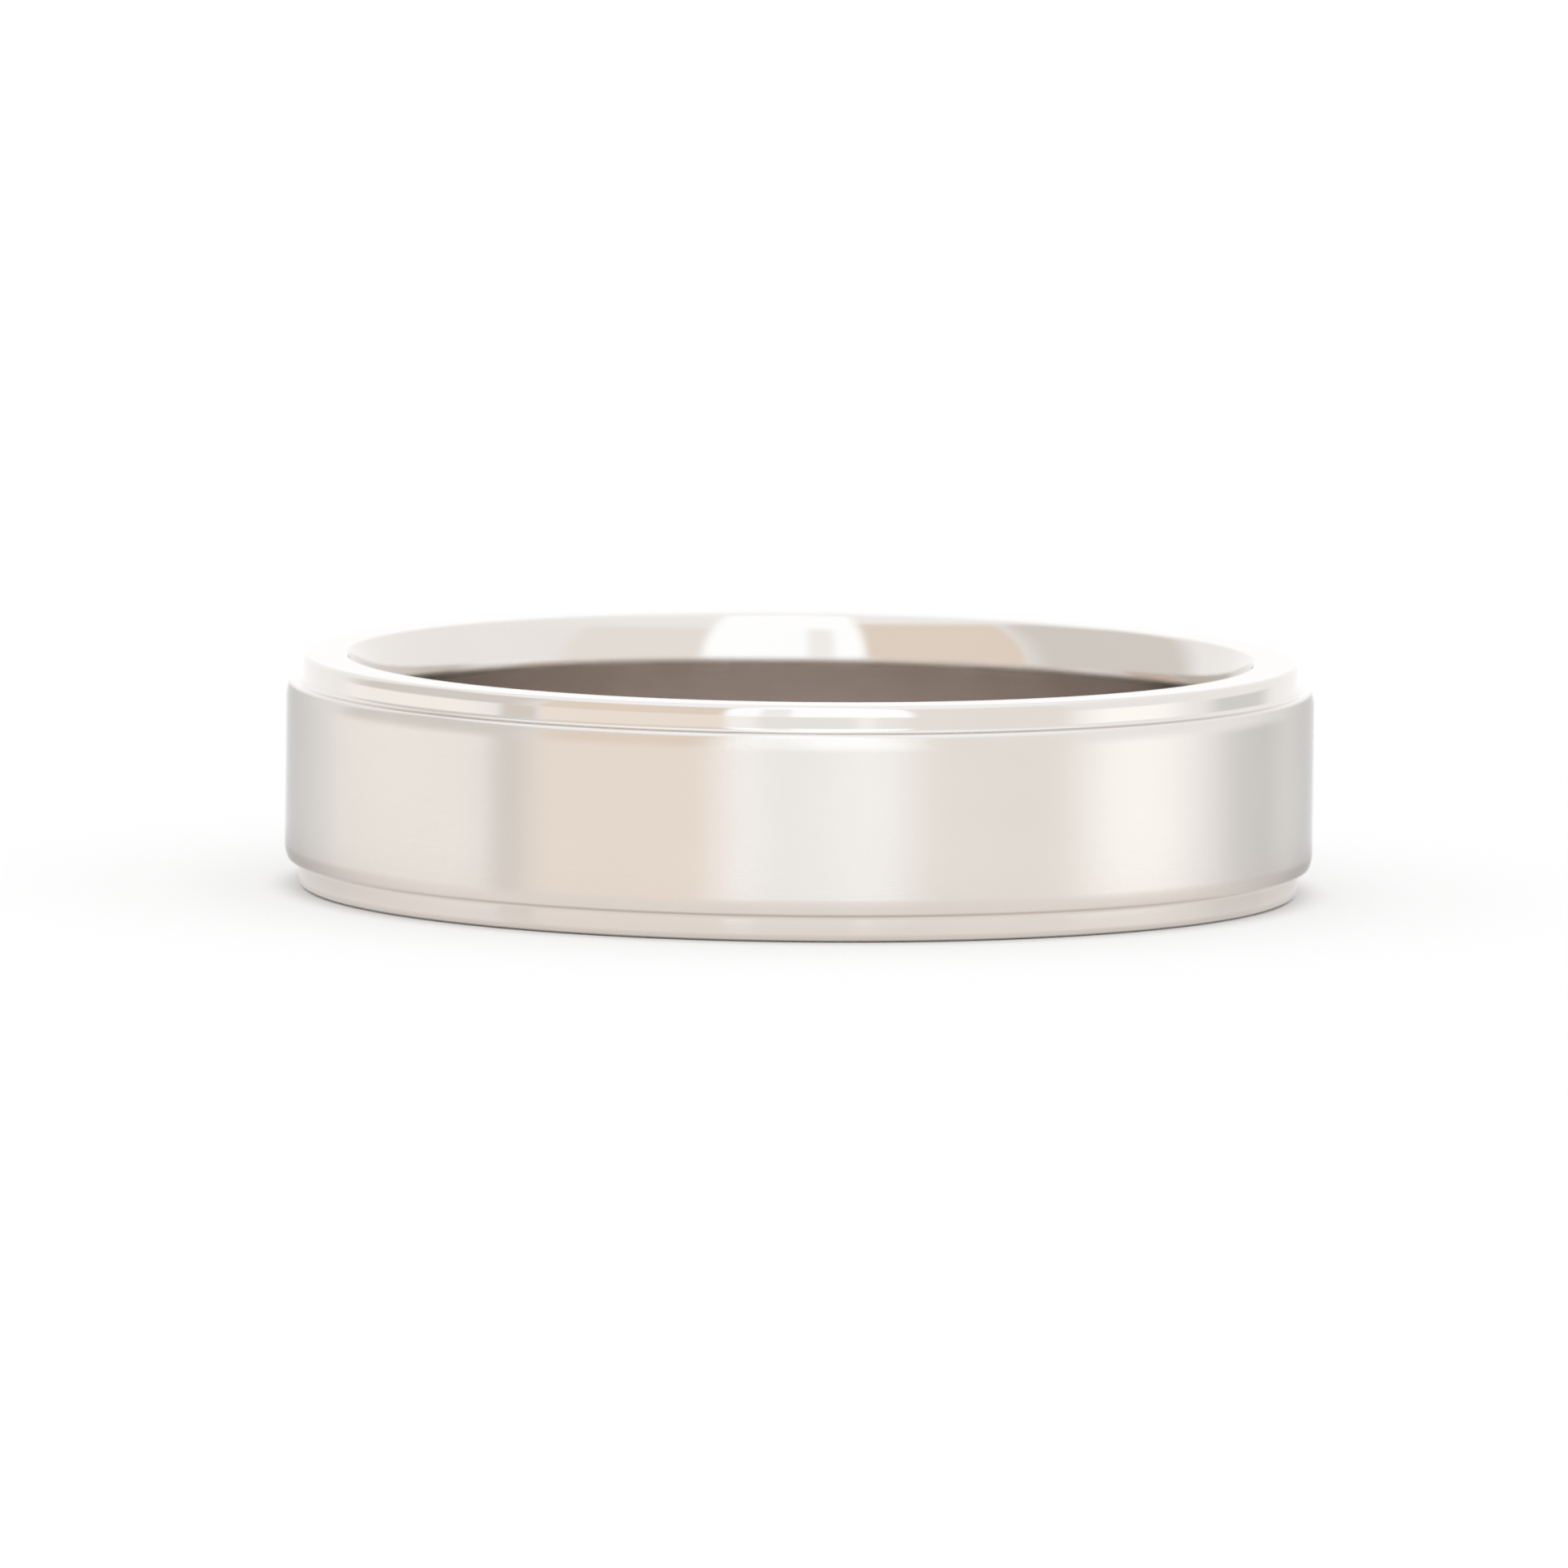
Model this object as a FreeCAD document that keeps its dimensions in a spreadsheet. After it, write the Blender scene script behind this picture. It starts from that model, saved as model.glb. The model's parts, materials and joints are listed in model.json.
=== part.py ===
import FreeCAD, Part
import math
import os
import Sketcher

# Wedding band in two bodies, each a half section turned about the bore axis:
#   inner_sleeve  the full-width comfort-fit sleeve, whose two exposed ends are
#                 the lower polished rims
#   centre_band   the raised satin band seated round the middle of the sleeve
# Frame: +Z along the axis of the bore, origin at the centre of the lower end
# face, so the band lies flat on z = 0.  Millimetres.

DIMENSIONS = [
    # alias, value or formula, what it is
    ("band_width", 5.00, "overall width along the finger"),
    ("bore_radius", 9.45, "straight land in the middle of the bore"),
    ("flare_height", 1.10, "height of the comfort-fit flare at each end of the bore"),
    ("flare_radius", 2.10, "arc of that flare, tangent to the land"),
    ("bore_edge_round", 0.10, "round between the flare and each end face"),
    ("rim_radius", 10.74, "outside of the sleeve and seat of the centre band"),
    ("rim_edge_height", 0.25, "where each rim starts to roll over towards its end face"),
    ("rim_edge_arc", 0.55, "slow arc of that roll, tangent to the rim"),
    ("rim_edge_round", 0.12, "tight round between the slow arc and the end face"),
    ("centre_radius", 11.05, "outside of the raised centre band"),
    ("centre_length", 3.86, "width of the raised centre band"),
    ("shoulder_height", 0.375, "where the centre band starts to roll into its shoulder"),
    ("shoulder_arc", 0.90, "slow arc of the shoulder, tangent to the outside"),
    ("shoulder_round", 0.14, "tight round between the slow arc and the flat ledge"),
    ("centre_start", "=(band_width - centre_length) / 2", "lower ledge of the centre band"),
]

# Sketcher's numbers for the points of a curve and for the sketch's own axes
START, END = 1, 2
X_AXIS = -1
ORIGIN = (X_AXIS, START)

MAX_OVERLAP = 1e-3  # mm3 the two bodies may share

doc = FreeCAD.newDocument("wedding_band")


def fill_sheet():
    """Write the driving dimensions and return their values by alias."""
    sheet = doc.addObject("Spreadsheet::Sheet", "dimensions")
    for row, (alias, value, note) in enumerate(DIMENSIONS, start=1):
        sheet.set(f"A{row}", alias)
        sheet.set(f"B{row}", str(value))
        sheet.set(f"C{row}", note)
        sheet.setAlias(f"B{row}", alias)
    doc.recompute()
    return {alias: float(sheet.get(alias)) for alias, _, _ in DIMENSIONS}


# ------------------------------------------------------------------- sketches
def section_sketch(body, name):
    """Half section in the XZ plane: sketch x is the radius, sketch y is +Z."""
    plane = next(f for f in body.Origin.OriginFeatures if f.Role == "XZ_Plane")
    sketch = body.newObject("Sketcher::SketchObject", name)
    sketch.AttachmentSupport = [(plane, "")]
    sketch.MapMode = "FlatFace"
    return sketch


def line(x_start, y_start, x_end, y_end):
    return Part.LineSegment(
        FreeCAD.Vector(x_start, y_start, 0), FreeCAD.Vector(x_end, y_end, 0))


def arc(x, y, radius, start_angle, end_angle):
    """Anticlockwise arc about (x, y)."""
    circle = Part.Circle(FreeCAD.Vector(x, y, 0), FreeCAD.Vector(0, 0, 1), radius)
    return Part.ArcOfCircle(circle, start_angle, end_angle)


def radius_after_roll(radius, arc_radius, sweep):
    """Where an arc tangent to a cylinder ends, sweep radians in towards the axis."""
    return radius - arc_radius * (1.0 - math.cos(sweep))


def constrain(sketch, kind, *args):
    return sketch.addConstraint(Sketcher.Constraint(kind, *args))


def draw_outline(sketch, outline):
    """Add (curve, join to the next curve) rows as a closed loop; return the indices."""
    indices = [sketch.addGeometry(curve, False) for curve, _ in outline]
    for place, (_, join) in enumerate(outline):
        following = indices[(place + 1) % len(indices)]
        constrain(sketch, join, indices[place], END, following, START)
    return indices


def drive(sketch, size, rows):
    """Add dimensional constraints, then bind each to its spreadsheet alias."""
    for name, alias, kind, *args in rows:
        index = constrain(sketch, kind, *args, size[alias])
        sketch.renameConstraint(index, name)
    for name, alias, *_ in rows:
        sketch.setExpression("Constraints." + name, "dimensions." + alias)


# ------------------------------------------------------------- solid features
def revolve(body, sketch, name):
    turned = body.newObject("PartDesign::Revolution", name)
    turned.Profile = sketch
    turned.ReferenceAxis = (sketch, ["V_Axis"])
    turned.Angle = 360.0
    sketch.Visibility = False
    doc.recompute()
    return turned


def circular_edges(shape, radius, height, tolerance=1e-3):
    """Names of the edges that are circles about Z of this radius at this height."""
    names = []
    for number, edge in enumerate(shape.Edges, start=1):
        curve = edge.Curve
        if (isinstance(curve, Part.Circle)
                and abs(curve.Radius - radius) <= tolerance
                and abs(curve.Center.z - height) <= tolerance
                and abs(abs(curve.Axis.z) - 1.0) <= 1e-6):
            names.append(f"Edge{number}")
    return names


def round_edges(body, base, name, alias, edge_radius, heights):
    """Fillet the circular edge of edge_radius at each of the two heights."""
    edges = [edge for height in heights
             for edge in circular_edges(base.Shape, edge_radius, height)]
    if len(edges) != 2:
        raise RuntimeError(f"{name}: expected two edges, found {edges}")
    fillet = body.newObject("PartDesign::Fillet", name)
    fillet.Base = (base, edges)
    fillet.setExpression("Radius", "dimensions." + alias)
    doc.recompute()
    body.Tip = fillet
    return fillet


# --------------------------------------------------------------------- pieces
def build_sleeve(size):
    body = doc.addObject("PartDesign::Body", "inner_sleeve")
    width = size["band_width"]
    rim = size["rim_radius"]
    roll_height = size["rim_edge_height"]
    roll_radius = size["rim_edge_arc"]
    bore = size["bore_radius"]
    flare_height = size["flare_height"]
    flare_radius = size["flare_radius"]

    roll_sweep = math.asin(roll_height / roll_radius)
    flare_sweep = math.asin(flare_height / flare_radius)
    # Radii of the outer and inner edges of the two end faces
    face_outer = radius_after_roll(rim, roll_radius, roll_sweep)
    face_inner = bore + flare_radius * (1.0 - math.cos(flare_sweep))
    roll_x = rim - roll_radius
    flare_x = bore + flare_radius
    roll_top = width - roll_height
    flare_top = width - flare_height

    sketch = section_sketch(body, "sleeve_section")
    wall, roll_upper, top, flare_upper, land, flare_lower, bottom, roll_lower = draw_outline(
        sketch, [
            (line(rim, roll_height, rim, roll_top), "Tangent"),
            (arc(roll_x, roll_top, roll_radius, 0.0, roll_sweep), "Coincident"),
            (line(face_outer, width, face_inner, width), "Coincident"),
            (arc(flare_x, flare_top, flare_radius, math.pi - flare_sweep, math.pi), "Tangent"),
            (line(bore, flare_top, bore, flare_height), "Tangent"),
            (arc(flare_x, flare_height, flare_radius, math.pi, math.pi + flare_sweep),
             "Coincident"),
            (line(face_inner, 0, face_outer, 0), "Coincident"),
            (arc(roll_x, roll_height, roll_radius, -roll_sweep, 0.0), "Tangent"),
        ])
    constrain(sketch, "Vertical", wall)
    constrain(sketch, "Horizontal", top)
    constrain(sketch, "Vertical", land)
    constrain(sketch, "Horizontal", bottom)
    constrain(sketch, "PointOnObject", bottom, START, X_AXIS)
    drive(sketch, size, [
        ("rim", "rim_radius", "DistanceX", *ORIGIN, wall, START),
        ("width", "band_width", "DistanceY", bottom, START, top, END),
        ("roll_end_lower", "rim_edge_height", "DistanceY", *ORIGIN, wall, START),
        ("roll_end_upper", "rim_edge_height", "DistanceY", wall, END, top, START),
        ("roll_upper", "rim_edge_arc", "Radius", roll_upper),
        ("roll_lower", "rim_edge_arc", "Radius", roll_lower),
        ("bore", "bore_radius", "DistanceX", *ORIGIN, land, START),
        ("land_end_lower", "flare_height", "DistanceY", *ORIGIN, land, END),
        ("land_end_upper", "flare_height", "DistanceY", land, START, top, START),
        ("flare_upper", "flare_radius", "Radius", flare_upper),
        ("flare_lower", "flare_radius", "Radius", flare_lower),
    ])

    turned = revolve(body, sketch, "sleeve_turned")
    ends = (0.0, width)
    rims = round_edges(body, turned, "rim_edge_rounds", "rim_edge_round", face_outer, ends)
    round_edges(body, rims, "bore_edge_rounds", "bore_edge_round", face_inner, ends)
    return body, sketch


def build_centre_band(size):
    body = doc.addObject("PartDesign::Body", "centre_band")
    outside = size["centre_radius"]
    seat_radius = size["rim_radius"]
    arc_radius = size["shoulder_arc"]
    low = size["centre_start"]
    high = low + size["centre_length"]

    # The outside face runs between the two shoulders
    face_low = low + size["shoulder_height"]
    face_high = high - size["shoulder_height"]
    sweep = math.asin(size["shoulder_height"] / arc_radius)
    ledge_radius = radius_after_roll(outside, arc_radius, sweep)
    arc_x = outside - arc_radius

    sketch = section_sketch(body, "centre_section")
    face, shoulder_upper, ledge_upper, seat, ledge_lower, shoulder_lower = draw_outline(
        sketch, [
            (line(outside, face_low, outside, face_high), "Tangent"),
            (arc(arc_x, face_high, arc_radius, 0.0, sweep), "Coincident"),
            (line(ledge_radius, high, seat_radius, high), "Coincident"),
            (line(seat_radius, high, seat_radius, low), "Coincident"),
            (line(seat_radius, low, ledge_radius, low), "Coincident"),
            (arc(arc_x, face_low, arc_radius, -sweep, 0.0), "Tangent"),
        ])
    constrain(sketch, "Vertical", face)
    constrain(sketch, "Vertical", seat)
    constrain(sketch, "Horizontal", ledge_upper)
    constrain(sketch, "Horizontal", ledge_lower)
    drive(sketch, size, [
        ("outside", "centre_radius", "DistanceX", *ORIGIN, face, START),
        ("seat", "rim_radius", "DistanceX", *ORIGIN, seat, START),
        ("length", "centre_length", "DistanceY", seat, END, seat, START),
        ("start", "centre_start", "DistanceY", *ORIGIN, seat, END),
        ("turn_lower", "shoulder_height", "DistanceY", seat, END, face, START),
        ("turn_upper", "shoulder_height", "DistanceY", face, END, seat, START),
        ("arc_upper", "shoulder_arc", "Radius", shoulder_upper),
        ("arc_lower", "shoulder_arc", "Radius", shoulder_lower),
    ])

    turned = revolve(body, sketch, "centre_turned")
    round_edges(body, turned, "shoulder_rounds", "shoulder_round", ledge_radius, (low, high))
    return body, sketch


# ------------------------------------------------------------ check and write
def check(bodies, sketches):
    failed = [o.Name for o in doc.Objects if "Invalid" in o.State or "Error" in o.State]
    if failed:
        raise RuntimeError("failed objects: " + ", ".join(failed))
    for sketch in sketches:
        if sketch.solve() != 0:
            raise RuntimeError(sketch.Name + " does not solve")
    for body in bodies:
        shape = body.Shape
        if shape.isNull() or not shape.isValid() or len(shape.Solids) != 1:
            raise RuntimeError(body.Label + " has no single valid solid")
    sleeve, centre = bodies
    if sleeve.Shape.common(centre.Shape).Volume > MAX_OVERLAP:
        raise RuntimeError("the centre band cuts into the sleeve")


size = fill_sheet()
bodies, sketches = zip(build_sleeve(size), build_centre_band(size))
doc.recompute()
check(bodies, sketches)

os.makedirs("parts", exist_ok=True)
for body in bodies:
    body.Shape.exportStep(f"parts/{body.Label}.step")
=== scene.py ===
"""Looks of the wedding band: two turned pieces, a polished comfort-fit sleeve and a satin centre band.

The frame is in metres: +Z along the bore, the lower end face on z = 0. The camera looks
towards +Y. Sections are drawn in mm as (radius, height) and revolved about Z.
"""
import json
import math

import bpy
from mathutils import Matrix, Vector

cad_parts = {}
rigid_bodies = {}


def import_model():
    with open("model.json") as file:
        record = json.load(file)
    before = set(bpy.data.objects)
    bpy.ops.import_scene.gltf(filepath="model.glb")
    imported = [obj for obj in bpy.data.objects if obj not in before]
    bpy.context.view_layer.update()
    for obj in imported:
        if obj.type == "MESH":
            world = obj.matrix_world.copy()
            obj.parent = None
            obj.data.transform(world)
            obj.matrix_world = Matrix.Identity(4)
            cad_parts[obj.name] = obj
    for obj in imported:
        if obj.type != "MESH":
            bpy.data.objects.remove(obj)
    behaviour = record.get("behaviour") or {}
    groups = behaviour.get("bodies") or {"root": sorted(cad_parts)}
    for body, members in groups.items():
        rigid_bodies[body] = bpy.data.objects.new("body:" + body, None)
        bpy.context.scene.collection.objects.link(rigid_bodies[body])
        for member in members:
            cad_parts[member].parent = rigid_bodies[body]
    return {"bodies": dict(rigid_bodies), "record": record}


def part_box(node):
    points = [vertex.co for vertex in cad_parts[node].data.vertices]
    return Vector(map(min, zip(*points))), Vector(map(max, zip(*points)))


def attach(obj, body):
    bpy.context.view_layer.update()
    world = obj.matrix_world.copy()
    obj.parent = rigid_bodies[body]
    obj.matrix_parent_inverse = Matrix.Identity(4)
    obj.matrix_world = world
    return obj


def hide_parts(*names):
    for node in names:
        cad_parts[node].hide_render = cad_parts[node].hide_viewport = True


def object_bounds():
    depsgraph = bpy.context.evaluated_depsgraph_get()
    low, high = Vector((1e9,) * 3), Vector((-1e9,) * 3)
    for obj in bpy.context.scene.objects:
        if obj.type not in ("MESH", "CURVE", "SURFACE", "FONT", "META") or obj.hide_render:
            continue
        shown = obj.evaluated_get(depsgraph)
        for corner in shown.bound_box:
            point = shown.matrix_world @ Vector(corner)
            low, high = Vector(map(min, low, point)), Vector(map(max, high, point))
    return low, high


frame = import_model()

cad_lo, cad_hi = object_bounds()

MM = 0.001

# ------------------------------------------------------------------ sizes, mm
# Overall sizes come from the CAD pieces; the small rounds are the design's.
sleeve_lo, sleeve_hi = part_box("inner_sleeve")
centre_lo, centre_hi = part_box("centre_band")
WIDTH = (sleeve_hi.z - sleeve_lo.z) / MM
BOTTOM = sleeve_lo.z / MM
TOP = BOTTOM + WIDTH
MID = BOTTOM + WIDTH / 2
RIM_R = round(max(sleeve_hi.x, sleeve_hi.y) / MM, 2)
CENTRE_R = round(max(centre_hi.x, centre_hi.y) / MM, 2)
CENTRE_BOTTOM = centre_lo.z / MM
CENTRE_TOP = centre_hi.z / MM

bore = next(m for m in frame["record"]["mounts"] if m["name"] == "finger_bore")
BORE_R = bore["dims"]["r_mm"]
LAND = bore["dims"]["length_mm"]     # straight middle stretch of the bore
FLARE_R = 2.10                       # arc from the land towards each end face
BORE_ROUND = 0.10                    # round between the flare and the end face
SOLDER = 0.10                        # fillet of solder in the corner beside each ledge

# Rolled edges: a slow arc off the wall, its height, then a tight round onto the flat.
RIM_EDGE = dict(arc_r=0.55, height=0.25, round_r=0.12, round_steps=18)
SHOULDER_EDGE = dict(arc_r=0.90, height=0.375, round_r=0.14, round_steps=16)

SEGMENTS = 384                       # round the ring
FILLET_STEPS = 10
ROLL_STEPS = 14
BORE_ROUND_STEPS = 18
FLARE_STEPS = 24


# ------------------------------------------------------------ turned meshes
def add_object(name, verts, faces):
    mesh = bpy.data.meshes.new(name)
    mesh.from_pydata(verts, [], faces)
    mesh.update()
    obj = bpy.data.objects.new(name, mesh)
    bpy.context.scene.collection.objects.link(obj)
    return obj


def circle(count):
    """(cosine, sine) of evenly spaced directions about Z, starting at +X."""
    angles = [2 * math.pi * j / count for j in range(count)]
    return [(math.cos(angle), math.sin(angle)) for angle in angles]


def line(start, end):
    """A straight strip of the section: [(r, z, normal r, normal z), ...], solid on its left."""
    (r0, z0), (r1, z1) = start, end
    length = math.hypot(r1 - r0, z1 - z0)
    normal = ((z1 - z0) / length, -(r1 - r0) / length)
    return [start + normal, end + normal]


def arc(centre, radius, start, end, steps, sign=1.0):
    """A round strip, angles in degrees; sign -1 turns its normals towards the centre."""
    strip = []
    for k in range(steps + 1):
        angle = math.radians(start + (end - start) * k / steps)
        cos, sin = math.cos(angle), math.sin(angle)
        strip.append((centre[0] + radius * cos, centre[1] + radius * sin, sign * cos, sign * sin))
    return strip


def mirrored(strips):
    """The strips reflected about mid width, reversed so the section keeps its direction."""
    return [[(r, 2 * MID - z, normal_r, -normal_z) for r, z, normal_r, normal_z in reversed(strip)]
            for strip in reversed(strips)]


def turned(name, strips):
    """Revolves a closed section, given as joined strips with exact normals, about the Z axis."""
    cells = [pair for strip in strips for pair in zip(strip, strip[1:])]
    count = len(cells)
    directions = circle(SEGMENTS)
    verts = [(start[0] * cos * MM, start[0] * sin * MM, start[1] * MM)
             for cos, sin in directions for start, _ in cells]
    faces, normals = [], []
    for j, here in enumerate(directions):
        j_next = (j + 1) % SEGMENTS
        there = directions[j_next]
        for k, (start, end) in enumerate(cells):
            k_next = (k + 1) % count
            faces.append((j * count + k, j_next * count + k,
                          j_next * count + k_next, j * count + k_next))
            corners = ((start, here), (start, there), (end, there), (end, here))
            normals += [(point[2] * cos, point[2] * sin, point[3]) for point, (cos, sin) in corners]
    obj = add_object(name, verts, faces)
    mesh = obj.data
    mesh.polygons.foreach_set("use_smooth", [True] * len(faces))
    # Exact normals keep rounds smooth and the corners where strips meet sharp.
    mesh.update()
    mesh.normals_split_custom_set(normals)
    mesh.update()
    return obj


def rolled_edge(wall_r, top, arc_r, height, round_r, round_steps):
    """An upper outside edge: a slow arc tangent to the wall, then a tight round tangent
    to that arc and to the flat top."""
    arc_x, arc_z = wall_r - arc_r, top - height
    round_z = top - round_r
    between = arc_r - round_r                  # distance between the two centres
    round_x = arc_x + math.sqrt(between * between - (round_z - arc_z) ** 2)
    touch = math.degrees(math.atan2(round_z - arc_z, round_x - arc_x))
    return [arc((arc_x, arc_z), arc_r, 0, touch, ROLL_STEPS),
            arc((round_x, round_z), round_r, touch, 90, round_steps)]


def bore_mouth():
    """The upper mouth of the bore, from the end face down to the land: a round touching
    the end face and the flare from inside the metal, then the flare tangent to the land."""
    flare_x, flare_z = BORE_R + FLARE_R, MID + LAND / 2
    round_z = TOP - BORE_ROUND
    between = FLARE_R - BORE_ROUND
    round_x = flare_x - math.sqrt(between * between - (round_z - flare_z) ** 2)
    touch = math.degrees(math.atan2(round_z - flare_z, round_x - flare_x))
    return [arc((round_x, round_z), BORE_ROUND, 90, touch, BORE_ROUND_STEPS),
            arc((flare_x, flare_z), FLARE_R, touch, 180, FLARE_STEPS)]


def sleeve_strips():
    rim = rolled_edge(RIM_R, TOP, **RIM_EDGE)
    mouth = bore_mouth()
    end_face = line((rim[-1][-1][0], TOP), (mouth[0][0][0], TOP))
    upper = rim + [end_face] + mouth
    fillet_r = RIM_R + SOLDER
    outside = [
        line((RIM_R, BOTTOM + RIM_EDGE["height"]), (RIM_R, CENTRE_BOTTOM - SOLDER)),
        arc((fillet_r, CENTRE_BOTTOM - SOLDER), SOLDER, 180, 90, FILLET_STEPS, -1.0),
        line((fillet_r, CENTRE_BOTTOM), (RIM_R, CENTRE_BOTTOM)),
        line((RIM_R, CENTRE_BOTTOM), (RIM_R, CENTRE_TOP)),
        line((RIM_R, CENTRE_TOP), (fillet_r, CENTRE_TOP)),
        arc((fillet_r, CENTRE_TOP + SOLDER), SOLDER, 270, 180, FILLET_STEPS, -1.0),
        line((RIM_R, CENTRE_TOP + SOLDER), (RIM_R, TOP - RIM_EDGE["height"])),
    ]
    land = line((BORE_R, MID + LAND / 2), (BORE_R, MID - LAND / 2))
    return outside + upper + [land] + mirrored(upper)


def centre_strips():
    shoulder = rolled_edge(CENTRE_R, CENTRE_TOP, **SHOULDER_EDGE)
    ledge_r = shoulder[-1][-1][0]
    height = SHOULDER_EDGE["height"]
    face = line((CENTRE_R, CENTRE_BOTTOM + height), (CENTRE_R, CENTRE_TOP - height))
    inside = [
        line((ledge_r, CENTRE_TOP), (RIM_R, CENTRE_TOP)),
        line((RIM_R, CENTRE_TOP), (RIM_R, CENTRE_BOTTOM)),
        line((RIM_R, CENTRE_BOTTOM), (ledge_r, CENTRE_BOTTOM)),
    ]
    return [face] + shoulder + inside + mirrored(shoulder)


sleeve = turned("inner_sleeve_visual", sleeve_strips())
centre = turned("centre_band_visual", centre_strips())


# ----------------------------------------------------------------- shader graphs
class ShaderGraph:
    """Adds nodes to an emptied tree. Inputs may be sockets, numbers or RGB tuples."""

    def __init__(self, tree):
        self.tree = tree
        tree.nodes.clear()

    def add(self, kind, inputs=None, **settings):
        node = self.tree.nodes.new(kind)
        for key, value in settings.items():
            setattr(node, key, value)
        for key, value in (inputs or {}).items():
            if isinstance(value, bpy.types.NodeSocket):
                self.tree.links.new(value, node.inputs[key])
            elif isinstance(value, tuple):
                node.inputs[key].default_value = (*value, 1.0)
            else:
                node.inputs[key].default_value = value
        return node

    def math(self, operation, *values):
        return self.add("ShaderNodeMath", dict(enumerate(values)), operation=operation).outputs[0]

    def linear(self, value, gain, offset):
        return self.math("ADD", self.math("MULTIPLY", value, gain), offset)

    def step(self, value, start, end, before=0.0, after=1.0, kind="SMOOTHSTEP"):
        """Goes from before to after as the value goes from start to end."""
        inputs = {"Value": value, "From Min": start, "From Max": end,
                  "To Min": before, "To Max": after}
        return self.add("ShaderNodeMapRange", inputs, interpolation_type=kind).outputs["Result"]

    def ramp(self, value, start, end, before=0.0, after=1.0):
        return self.step(value, start, end, before, after, kind="LINEAR")

    def window(self, value, low, high, soft):
        """1 between low and high, 0 outside, each edge blurred by soft either way."""
        rise = self.step(value, low - soft, low + soft)
        fall = self.step(value, high - soft, high + soft, before=1.0, after=0.0)
        return self.math("MULTIPLY", rise, fall)

    def mix(self, factor, first, second):
        inputs = {0: factor, 6: first, 7: second}
        return self.add("ShaderNodeMix", inputs, data_type="RGBA").outputs[2]

    def mix_shader(self, factor, first, second):
        return self.add("ShaderNodeMixShader", {0: factor, 1: first, 2: second}).outputs[0]

    def noise(self, vector, scale, detail=2.0, roughness=0.5):
        inputs = {"Scale": scale, "Detail": detail, "Roughness": roughness, "Vector": vector}
        return self.add("ShaderNodeTexNoise", inputs).outputs["Fac"]

    def coords(self, output):
        return self.add("ShaderNodeTexCoord").outputs[output]

    def split(self, vector):
        return self.add("ShaderNodeSeparateXYZ", {0: vector}).outputs

    def is_ray(self, kind):
        return self.add("ShaderNodeLightPath").outputs[f"Is {kind} Ray"]


def new_material(name):
    material = bpy.data.materials.new(name)
    material.use_nodes = True
    return material, ShaderGraph(material.node_tree)


# -------------------------------------------------------------------- metals
METAL = (0.72, 0.68, 0.645)
LEDGE_ROUGH = 0.10                   # roughness of the centre band's two flat ledges
SATIN_MARGIN = 0.05                  # mm from each ledge to the middle of the satin's edge
BUMP_DEPTH = 0.00002                 # m


def alloy_colour(graph, drift, spread):
    """The metal's colour, drifting by the given share either way."""
    return graph.mix(graph.ramp(drift, start=0.3, end=0.7),
                     tuple(v * (1 - spread) for v in METAL),
                     tuple(v * (1 + spread) for v in METAL))


def stroke_noise(graph, angle, across, cells_round, detail, roughness):
    """Noise drawn out round the ring, where it closes on itself; across is in noise cells."""
    vector = graph.add("ShaderNodeCombineXYZ", {
        0: graph.math("MULTIPLY", graph.math("COSINE", angle), cells_round),
        1: graph.math("MULTIPLY", graph.math("SINE", angle), cells_round),
        2: across,
    }).outputs[0]
    return graph.noise(vector, scale=1.0, detail=detail, roughness=roughness)


def bump(graph, strength, height):
    inputs = {"Distance": BUMP_DEPTH, "Strength": strength, "Height": height}
    return graph.add("ShaderNodeBump", inputs).outputs[0]


def finish_metal(graph, inputs):
    metal = graph.add("ShaderNodeBsdfPrincipled", {"Metallic": 1.0, **inputs})
    graph.add("ShaderNodeOutputMaterial", {0: metal.outputs[0]})


def polished_material():
    material, graph = new_material("polished_white_gold")
    position = graph.coords("Object")
    x, y, z = graph.split(position)
    angle = graph.math("ARCTAN2", y, x)
    square = graph.math("ADD", graph.math("MULTIPLY", x, x), graph.math("MULTIPLY", y, y))
    radius_mm = graph.math("MULTIPLY", graph.math("SQRT", square), 1 / MM)
    height_mm = graph.math("MULTIPLY", z, 1 / MM)

    # Buffing haze: fine hairlines that run round the ring.
    hairs_per_mm = 34.0
    across = graph.math("ADD", graph.math("MULTIPLY", height_mm, hairs_per_mm),
                        graph.math("MULTIPLY", radius_mm, hairs_per_mm))
    hair = stroke_noise(graph, angle, across, cells_round=7.0, detail=4.0, roughness=0.65)
    cloud = graph.noise(position, scale=900.0, detail=3.0)
    rough = graph.math("ADD", graph.ramp(hair, start=0.42, end=0.72, after=0.035),
                       graph.ramp(cloud, start=0.35, end=0.7, before=0.035, after=0.06))
    # The straight land inside is duller than the flared mouths: a finger rubs it.
    land = graph.step(radius_mm, start=BORE_R + 0.002, end=BORE_R + 0.02, before=0.10, after=0.0)

    hair_share = 0.6                 # of the hairlines in the relief
    relief = graph.linear(hair, gain=hair_share, offset=graph.noise(position, scale=420.0))
    finish_metal(graph, {
        "Base Color": alloy_colour(graph, graph.noise(position, scale=260.0), spread=0.012),
        "Roughness": graph.math("ADD", rough, land),
        "Normal": bump(graph, strength=0.05, height=relief),
    })
    return material


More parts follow.
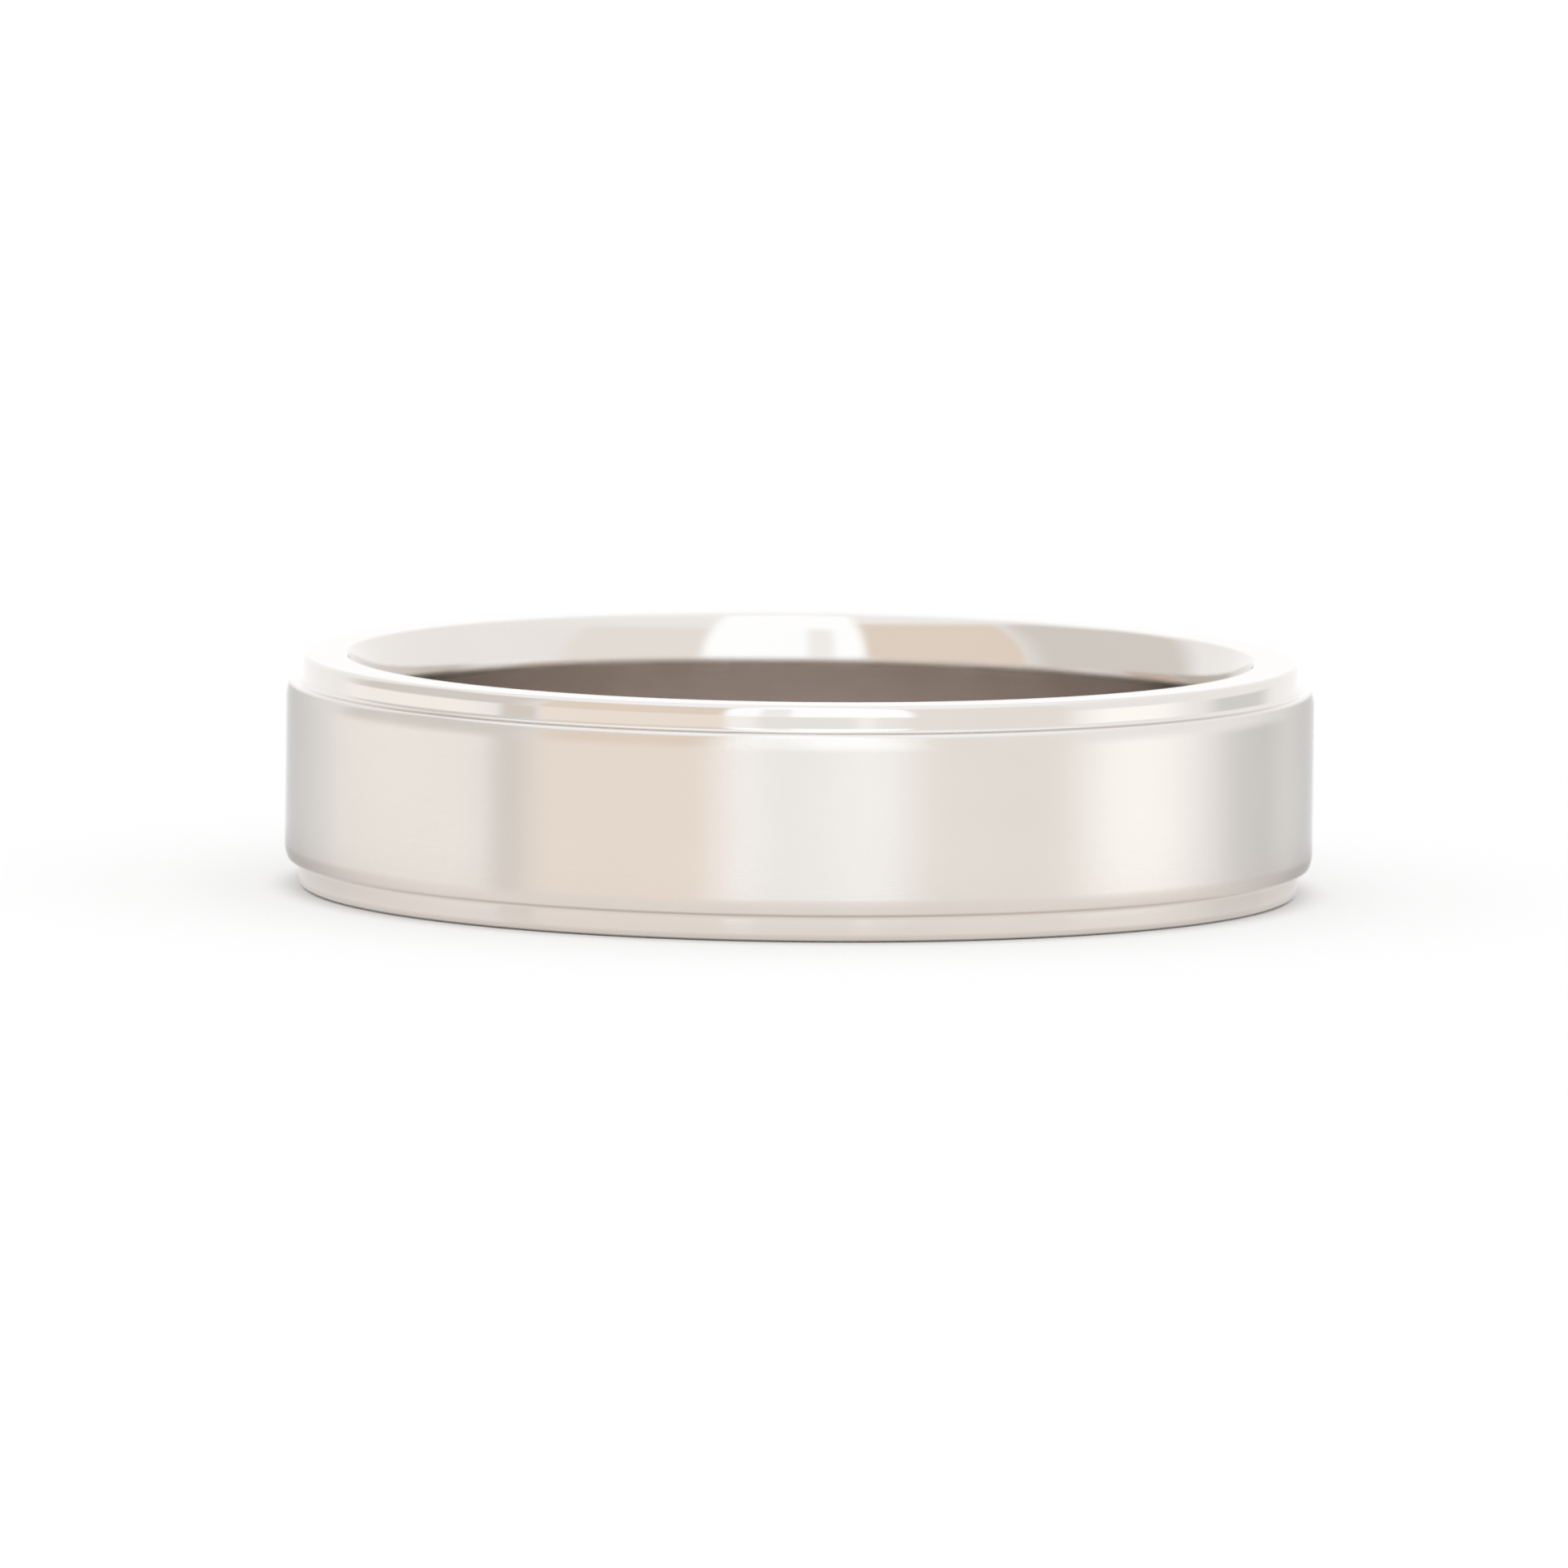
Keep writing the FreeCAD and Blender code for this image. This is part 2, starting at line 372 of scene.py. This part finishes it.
def satin_material():
    material, graph = new_material("satin_white_gold")
    position = graph.coords("Object")
    x, y, z = graph.split(position)
    angle = graph.math("ARCTAN2", y, x)
    height_mm = graph.math("MULTIPLY", z, 1 / MM)

    # 1 on the satin face and its shoulders, 0 on the two flat ledges.
    satin = graph.window(height_mm, low=CENTRE_BOTTOM + SATIN_MARGIN,
                         high=CENTRE_TOP - SATIN_MARGIN, soft=0.03)

    # The satin is laid round the ring: long fine strokes, crowded across the width.
    def strokes_across(cells_per_mm, **shape):
        return stroke_noise(graph, angle, graph.math("MULTIPLY", height_mm, cells_per_mm), **shape)

    strokes = strokes_across(cells_per_mm=46.0, cells_round=9.0, detail=5.0, roughness=0.7)
    fine = strokes_across(cells_per_mm=150.0, cells_round=40.0, detail=3.0, roughness=0.6)
    cloud = graph.noise(position, scale=330.0)

    rough = graph.math("ADD", graph.ramp(strokes, start=0.3, end=0.75, before=0.135, after=0.175),
                       graph.ramp(cloud, start=0.3, end=0.7, before=-0.01, after=0.01))
    share = 0.5                      # of each stroke noise in the relief
    relief = graph.math("ADD", graph.math("MULTIPLY", strokes, share),
                        graph.math("MULTIPLY", fine, share))
    finish_metal(graph, {
        "Base Color": alloy_colour(graph, cloud, spread=0.015),
        # The strokes shade one another where the face turns away, so its limb is greyer.
        "Specular Tint": graph.mix(satin, (1.0, 1.0, 1.0), (0.65, 0.65, 0.65)),
        "Roughness": graph.linear(satin, gain=graph.math("SUBTRACT", rough, LEDGE_ROUGH),
                                  offset=LEDGE_ROUGH),
        "Anisotropic": graph.linear(satin, gain=0.25, offset=0.75),
        "Anisotropic Rotation": 0.25,
        "Tangent": graph.add("ShaderNodeTangent", direction_type="RADIAL", axis="Z").outputs[0],
        "Normal": bump(graph, strength=graph.linear(satin, gain=0.10, offset=0.02), height=relief),
    })
    return material


sleeve.data.materials.append(polished_material())
centre.data.materials.append(satin_material())

for piece, node, slot in ((sleeve, "inner_sleeve", "polished_metal"),
                          (centre, "centre_band", "satin_metal")):
    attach(piece, "root" if "root" in frame["bodies"] else sorted(frame["bodies"])[0])
    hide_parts(node)

# ------------------------------------------------------------------ floor, m
IN_BORE_R = 0.0107                   # where the disc in the bore meets the wide floor
FLOOR_R = 1.5
FLOOR_GAP = 0.00001                  # below the band
FLOOR_SEGMENTS = 192
FLOOR_COLOUR = (0.80, 0.80, 0.80)


def disc(name, material, outer_r, inner_r=0.0):
    """A flat disc, or a flat ring where inner_r is given, just under the band."""
    def ring(radius):
        return [(radius * cos, radius * sin, 0) for cos, sin in circle(FLOOR_SEGMENTS)]

    count = FLOOR_SEGMENTS
    pairs = [(j, (j + 1) % count) for j in range(count)]
    if inner_r:
        verts = ring(inner_r) + ring(outer_r)
        faces = [(j, count + j, count + k, k) for j, k in pairs]
    else:
        verts = [(0, 0, 0)] + ring(outer_r)
        faces = [(0, 1 + j, 1 + k) for j, k in pairs]
    obj = add_object(name, verts, faces)
    obj.data.materials.append(material)
    obj.location.z = cad_lo.z - FLOOR_GAP


def bore_floor_material():
    """The table inside the bore: the same pale table, but at a grazing angle, where the polished
    wall mirrors it, it is painted darker and warmer, painted shade for light that has bounced between
    the walls."""
    material, graph = new_material("floor_in_bore")
    incoming = graph.add("ShaderNodeNewGeometry").outputs["Incoming"]
    slope = graph.math("ABSOLUTE", graph.split(incoming)[2])
    pale = graph.math("MAXIMUM", graph.step(slope, start=0.20, end=0.42), graph.is_ray("Camera"))
    # Painted shade: rays other than the camera's that arrive at a grazing angle see a darker, warmer
    # table.
    colour = graph.mix(pale, (0.42, 0.32, 0.29), FLOOR_COLOUR)
    matte = graph.add("ShaderNodeBsdfDiffuse", {"Color": colour})
    graph.add("ShaderNodeOutputMaterial", {0: matte.outputs[0]})
    return material


def floor_material():
    material, graph = new_material("pale_floor")
    position = graph.coords("Object")
    radius = graph.add("ShaderNodeVectorMath", {0: position}, operation="LENGTH").outputs["Value"]

    # Painted light: the table glows, more so further from the band, so the band's cast shadow stays
    # faint.
    matte = graph.add("ShaderNodeBsdfDiffuse", {"Color": FLOOR_COLOUR}).outputs[0]
    lit = graph.math("ADD",
                     graph.step(radius, start=IN_BORE_R, end=0.0116, before=0.12, after=0.55),
                     graph.step(radius, start=0.0112, end=0.020, after=0.25))
    lit = graph.math("ADD", lit, graph.step(radius, start=0.016, end=0.10, after=0.20))
    painted_glow = graph.add("ShaderNodeEmission", {"Strength": 1.01}).outputs[0]
    seen = graph.mix_shader(lit, matte, painted_glow)

    # Painted reflection: the lower rim mirrors a glowing stand-in for the table close by; further out
    # the light tent takes over.
    painted_table_reflection = graph.add("ShaderNodeEmission", {
        # Painted shade: darker and warmer at the band's foot, where the table lies in the band's
        # shadow.
        "Color": graph.mix(graph.step(radius, start=IN_BORE_R, end=0.0112),
                           (0.80, 0.75, 0.72), (1.0, 0.96, 0.93)),
        # Painted light: the stand-in glows brighter in front of the band, where the front softbox
        # falls, and dimmer behind it.
        "Strength": graph.step(graph.split(position)[1], start=-0.010, end=0.002,
                               before=0.98, after=0.76),
    }).outputs[0]
    clear = graph.add("ShaderNodeBsdfTransparent").outputs[0]
    cover = graph.step(radius, start=0.013, end=0.018, before=0.80, after=0.0)
    mirrored_floor = graph.mix_shader(cover, clear, painted_table_reflection)

    surface = graph.mix_shader(graph.is_ray("Glossy"), seen, mirrored_floor)
    graph.add("ShaderNodeOutputMaterial", {0: surface})
    return material


disc("floor_in_bore", bore_floor_material(), IN_BORE_R)
disc("floor_wide", floor_material(), FLOOR_R, inner_r=IN_BORE_R)

# -------------------------------------------------------- soft studio light
# A white light tent with large soft panels in it, which the metal mirrors.
# Azimuth 0 is the camera's side, positive to the camera's right, in degrees.
# Columns: azimuth from and to, height from and to, softness in azimuth, colour.
# Later panels cover earlier ones.
PANELS = [
    (24, 66, -24, 38, 4.0, (1.07, 1.05, 1.02)),     # right wall
    (69, 97, -24, 4, 9.0, (1.36, 1.38, 1.36)),      # right panel
    (110, 136, -24, 0, 6.0, (0.85, 0.86, 0.87)),    # gap at the right
    (-130, -78, -24, 0, 6.0, (1.22, 1.20, 1.18)),   # left panel
    (-125, -64, 0, 45, 8.0, (0.86, 0.85, 0.82)),    # far left card
    (-73, -63, -24, 0, 2.0, (0.88, 0.84, 0.80)),    # gap at the left
    (-62, -17, -24, 45, 1.0, (1.12, 1.04, 0.97)),   # warm left card
    (-62, -17, 2, 45, 1.0, (1.00, 0.90, 0.80)),     # warm left card, upper
    (-17, 17, -24, 90, 1.5, (1.25, 1.25, 1.25)),    # front softbox
    (-17, 26, -2, 90, 1.0, (1.38, 1.46, 1.52)),     # front softbox, upper
    (-10, 13, -24, -2, 2.0, (1.08, 1.10, 1.10)),    # camera and its stand
    (-9, -2, -2, 38, 0.5, (1.20, 1.22, 1.24)),      # slit for the camera
]
HEIGHT_SOFTNESS = 2.0


def build_world():
    world = bpy.data.worlds.new("light_tent")
    bpy.context.scene.world = world
    world.use_nodes = True
    graph = ShaderGraph(world.node_tree)
    x, y, z = graph.split(graph.coords("Generated"))
    bearing = graph.math("ARCTAN2", x, graph.math("MULTIPLY", y, -1.0))
    azimuth = graph.math("MULTIPLY", bearing, 180 / math.pi)
    height = graph.math("MULTIPLY", graph.math("ARCSINE", z), 180 / math.pi)

    # The tent itself: the table's side a little darker and warmer, overhead a little brighter.
    tent = graph.mix(graph.step(height, start=-30.0, end=-20.0),
                     (1.00, 0.97, 0.94), (1.12, 1.13, 1.14))
    tent = graph.mix(graph.step(height, start=30.0, end=80.0), tent, (1.25, 1.30, 1.35))
    for left, right, low, high, softness, colour in PANELS:
        cover = graph.math("MULTIPLY", graph.window(azimuth, left, right, softness),
                           graph.window(height, low, high, HEIGHT_SOFTNESS))
        tent = graph.mix(cover, tent, colour)

    # Only mirror rays see the panels; other light is plain, a little brighter from the right.
    soft = graph.mix(graph.ramp(x, start=-1.0, end=1.0), (1.16, 1.15, 1.14), (1.30, 1.30, 1.30))
    light = graph.mix(graph.is_ray("Glossy"), soft, tent)
    background = graph.add("ShaderNodeBackground", {"Color": light})
    graph.add("ShaderNodeOutputWorld", {0: background.outputs[0]})


build_world()

# -------------------------------------------------------------------- camera
LENS = 561.31677                     # mm, on the sensor below
SENSOR = 36.0                        # mm
DISTANCE = 525.85                    # mm from the target
TARGET_HEIGHT = 2.62925              # mm, on the band's axis
ELEVATION = math.radians(5.814)
# Small turns away from the target.
YAW = math.radians(0.0356206)
PITCH = math.radians(-0.0409842)
ROLL = math.radians(0.668)


def build_camera():
    target = Vector((0, 0, TARGET_HEIGHT))
    position = target + DISTANCE * Vector((0, -math.cos(ELEVATION), math.sin(ELEVATION)))
    forward = (target - position).normalized()
    right = Vector((1, 0, 0))
    up = right.cross(forward)
    turn = Matrix.Rotation(YAW, 3, up)
    forward, right = turn @ forward, turn @ right
    turn = Matrix.Rotation(PITCH, 3, right)
    forward, up = turn @ forward, turn @ up
    turn = Matrix.Rotation(-ROLL, 3, forward)
    right, up = turn @ right, turn @ up

    data = bpy.data.cameras.new("camera")
    camera = bpy.data.objects.new("camera", data)
    bpy.context.scene.collection.objects.link(camera)
    data.sensor_fit = "HORIZONTAL"
    data.sensor_width = SENSOR
    data.lens = LENS
    data.clip_start = 0.01
    data.clip_end = 10.0
    data.dof.use_dof = True          # a slight softness towards the far edge
    data.dof.focus_distance = 0.512
    data.dof.aperture_fstop = 300.0
    rotation = Matrix((right, up, -forward)).transposed()
    camera.matrix_world = Matrix.Translation(position * MM) @ rotation.to_4x4()
    bpy.context.scene.camera = camera


build_camera()

view = bpy.context.scene.view_settings
view.view_transform = "Standard"
view.look = "None"
view.exposure = 0.0
view.gamma = 1.0
